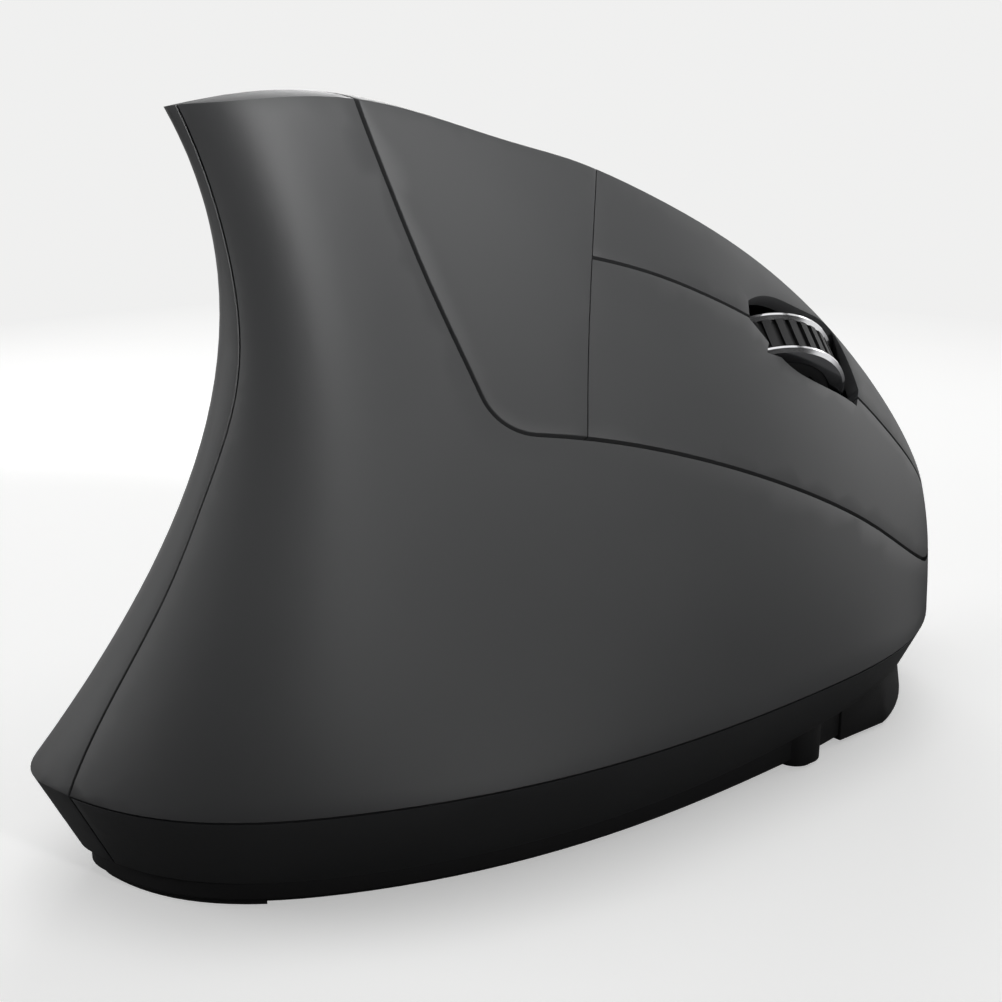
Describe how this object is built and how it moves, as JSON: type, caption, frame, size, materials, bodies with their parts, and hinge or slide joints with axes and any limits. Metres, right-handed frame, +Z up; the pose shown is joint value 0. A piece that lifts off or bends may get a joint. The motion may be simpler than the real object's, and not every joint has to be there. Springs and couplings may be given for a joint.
{
  "type": "vertical computer mouse",
  "caption": "Upright handshake-grip wireless mouse in soft charcoal plastic, with two bending keys, a chrome-rimmed scroll wheel and thumb buttons.",
  "frame": {"origin": "on the table under the middle of the mouse's bounding box", "axes": "+Z up, +Y towards the nose, +X towards the finger side"},
  "size_m": [0.0612, 0.1198, 0.075],
  "materials": {
    "soft_plastic": "soft-touch coated charcoal plastic, fine even grain, very low sheen",
    "satin_plastic": "charcoal plastic skirt, slightly glossier than the shells",
    "black_plastic": "black moulded plastic with a fine spark-eroded grain",
    "button_plastic": "satin black button plastic",
    "foot_plastic": "slippery black low-friction pads",
    "tyre_rubber": "finely ribbed black rubber",
    "rim_chrome": "bright chrome-plated rings",
    "white_plastic": "natural white acetal",
    "board_laminate": "green solder mask over glass-fibre laminate",
    "switch_plastic": "dark switch housings with pale plungers",
    "cell_jacket": "plain wrapped dry cells with steel ends, no print",
    "contact_steel": "nickel-plated spring steel",
    "chip_resin": "black moulded chip resin",
    "lens_clear": "clear moulded lens plastic",
    "lamp_resin": "red tinted lamp resin"
  },
  "bodies": {
    "housing": {"sole": "black_plastic", "foot_pads": "foot_plastic", "base_frame": "satin_plastic", "right_shell": "soft_plastic", "thumb_shell": "soft_plastic", "key_panel": "soft_plastic", "housing_screws": "contact_steel", "inner_frame": "black_plastic", "key_board": "board_laminate", "upper_switch": "switch_plastic", "lower_switch": "switch_plastic", "wheel_switch": "switch_plastic", "wheel_sensors": "switch_plastic", "wheel_guide": "white_plastic", "thumb_board": "board_laminate", "thumb_switches": "switch_plastic", "battery_cells": "cell_jacket", "battery_contacts": "contact_steel", "main_board": "board_laminate", "board_chips": "chip_resin", "motion_sensor": "chip_resin", "sensor_lens": "lens_clear", "sensor_light": "lamp_resin", "power_switch": "switch_plastic"},
    "upper_key_body": {"upper_key": "soft_plastic"},
    "lower_key_body": {"lower_key": "soft_plastic"},
    "yoke": {"wheel_yoke": "white_plastic"},
    "wheel": {"wheel_tyre": "tyre_rubber", "wheel_rims": "rim_chrome", "wheel_hub": "black_plastic"},
    "back_button_body": {"back_button": "button_plastic"},
    "forward_button_body": {"forward_button": "button_plastic"},
    "dpi_button_body": {"dpi_button": "button_plastic"},
    "cover": {"battery_cover": "black_plastic"},
    "slider": {"power_slider": "button_plastic"}
  },
  "joints": [
    {"name": "upper_key_bend", "type": "hinge", "parent": "housing", "child": "upper_key_body", "pos_m": [-0.00079, 0.00651, 0.06196], "axis": [-0.7061, 0.3331, 0.6249], "range_deg": [0, 0.6], "stiffness_Nm_per_rad": 0.05},
    {"name": "lower_key_bend", "type": "hinge", "parent": "housing", "child": "lower_key_body", "pos_m": [0.00819, -0.00031, 0.04775], "axis": [-0.4229, 0.3833, 0.8211], "range_deg": [0, 0.6], "stiffness_Nm_per_rad": 0.05},
    {"name": "wheel_press", "type": "slide", "parent": "housing", "child": "yoke", "axis": [-0.6725, -0.2185, -0.7071], "range_m": [0, 0.0005], "stiffness_N_per_m": 400},
    {"name": "wheel_roll", "type": "hinge", "parent": "yoke", "child": "wheel", "pos_m": [0.005, 0.03075, 0.0392], "axis": [0.7334, -0.3246, -0.5972], "continuous": true},
    {"name": "back_button_press", "type": "slide", "parent": "housing", "child": "back_button_body", "axis": [1, 0, 0], "range_m": [0, 0.0006], "stiffness_N_per_m": 300},
    {"name": "forward_button_press", "type": "slide", "parent": "housing", "child": "forward_button_body", "axis": [1, 0, 0], "range_m": [0, 0.0006], "stiffness_N_per_m": 300},
    {"name": "dpi_button_press", "type": "slide", "parent": "housing", "child": "dpi_button_body", "axis": [1, 0, 0], "range_m": [0, 0.0006], "stiffness_N_per_m": 300},
    {"name": "cover_slide", "type": "slide", "parent": "housing", "child": "cover", "axis": [0, -1, 0], "range_m": [0, 0.004]},
    {"name": "power_slide", "type": "slide", "parent": "housing", "child": "slider", "axis": [0, 1, 0], "range_m": [0, 0.003]}
  ]
}
